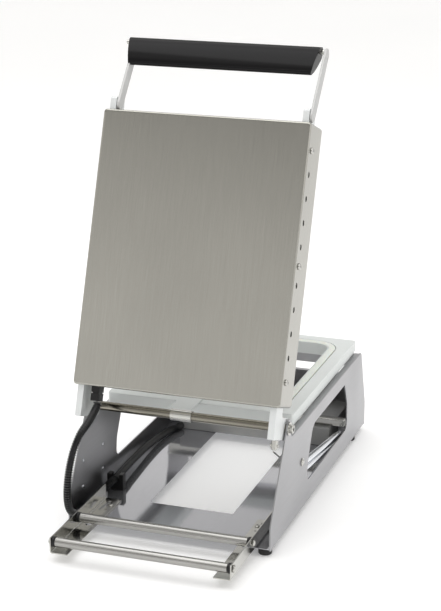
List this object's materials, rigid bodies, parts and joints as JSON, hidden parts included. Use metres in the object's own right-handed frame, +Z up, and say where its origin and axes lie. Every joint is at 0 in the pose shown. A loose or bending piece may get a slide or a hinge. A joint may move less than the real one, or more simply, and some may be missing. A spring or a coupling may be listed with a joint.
{
  "type": "manual tray sealer",
  "caption": "Bench-top manual tray sealer: side plates, tray mould, heated lid with a cross handle on a rear hinge, and a rear film cradle.",
  "frame": {"origin": "middle of the footprint on the table, at the feet's bottom faces", "axes": "+Z up, -Y towards the operator and the front panel, +Y towards the film cradle, +X to the operator's right"},
  "size_m": [0.262, 0.5322, 0.5528],
  "materials": {
    "satin_steel": "satin brushed stainless sheet",
    "bright_steel": "bright machined or plated steel",
    "mirror_steel": "mirror polished stainless sheet",
    "aluminium": "milled aluminium",
    "anodised": "pale anodised cast aluminium",
    "grey_paint": "mid grey paint",
    "black_plastic": "glossy black plastic",
    "conduit_black": "corrugated black conduit",
    "black_rubber": "matt black rubber",
    "silicone": "cream silicone sponge",
    "insulation": "fibrous insulation board",
    "amber_lens": "translucent amber lens"
  },
  "bodies": {
    "machine": {"base_plate": "mirror_steel", "cable_guide": "bright_steel", "conduit_clip": "black_plastic", "conduit_loop": "conduit_black", "conduit_run": "conduit_black", "control_box": "grey_paint", "counter_spring_lower": "bright_steel", "counter_spring_upper": "bright_steel", "cradle_bracket_left": "bright_steel", "cradle_bracket_right": "bright_steel", "cross_rail": "satin_steel", "foot_front_left": "black_rubber", "foot_front_right": "black_rubber", "foot_rear_left": "black_rubber", "foot_rear_right": "black_rubber", "front_panel": "satin_steel", "hinge_shaft": "bright_steel", "indicator_lamp": "amber_lens", "mains_gland": "black_plastic", "mould_rest": "satin_steel", "power_switch_body": "black_plastic", "pull_cable": "bright_steel", "rating_plate": "aluminium", "roller_axle_front": "bright_steel", "roller_axle_rear": "bright_steel", "roller_cap_front_left": "black_plastic", "roller_cap_front_right": "black_plastic", "roller_cap_rear_left": "black_plastic", "roller_cap_rear_right": "black_plastic", "shaft_bolt_left": "bright_steel", "shaft_bolt_right": "bright_steel", "side_plate_left": "satin_steel", "side_plate_right": "satin_steel", "spring_anchor": "satin_steel", "thermostat_body": "grey_paint"},
    "lid": {"cable_stud": "bright_steel", "film_knife": "bright_steel", "grip_rod": "bright_steel", "handle_arm_left": "satin_steel", "handle_arm_right": "satin_steel", "handle_grip": "black_plastic", "heater_insulation": "insulation", "heating_plate": "aluminium", "lid_arm_left": "aluminium", "lid_arm_right": "aluminium", "lid_cover": "satin_steel", "lid_gland": "black_plastic", "cover_screw_rear_left": "bright_steel", "cover_screw_rear_right": "bright_steel", "cover_screw_middle_left": "bright_steel", "cover_screw_middle_right": "bright_steel", "cover_screw_front_left": "bright_steel", "cover_screw_front_right": "bright_steel"},
    "mould": {"tray_mould": "anodised", "mould_gasket": "silicone", "mould_strap": "satin_steel"},
    "front_film_roller": {"film_roller_front": "bright_steel"},
    "rear_film_roller": {"film_roller_rear": "bright_steel"},
    "knob": {"thermostat_knob": "black_plastic"},
    "rocker": {"power_switch_rocker": "black_plastic"}
  },
  "joints": [
    {"name": "lid_hinge", "type": "hinge", "parent": "machine", "child": "lid", "pos_m": [0, 0.1086, 0.1334], "axis": [-1, 0, 0], "range_deg": [-70, 0], "deforming": ["conduit_loop", "pull_cable", "counter_spring_upper", "counter_spring_lower"]},
    {"name": "mould_tilt", "type": "hinge", "parent": "machine", "child": "mould", "pos_m": [0, 0.1086, 0.1334], "axis": [-1, 0, 0], "range_deg": [0, 30]},
    {"name": "front_roller_spin", "type": "hinge", "parent": "machine", "child": "front_film_roller", "pos_m": [0, 0.1896, 0.0234], "axis": [1, 0, 0], "continuous": true},
    {"name": "rear_roller_spin", "type": "hinge", "parent": "machine", "child": "rear_film_roller", "pos_m": [0, 0.2599, 0.0234], "axis": [1, 0, 0], "continuous": true},
    {"name": "knob_turn", "type": "hinge", "parent": "machine", "child": "knob", "pos_m": [0.062, -0.2497, 0.0239], "axis": [0, -1, 0], "range_deg": [0, 270]},
    {"name": "switch_rock", "type": "hinge", "parent": "machine", "child": "rocker", "pos_m": [-0.055, -0.2479, 0.0239], "axis": [-1, 0, 0], "range_deg": [0, 16]}
  ]
}
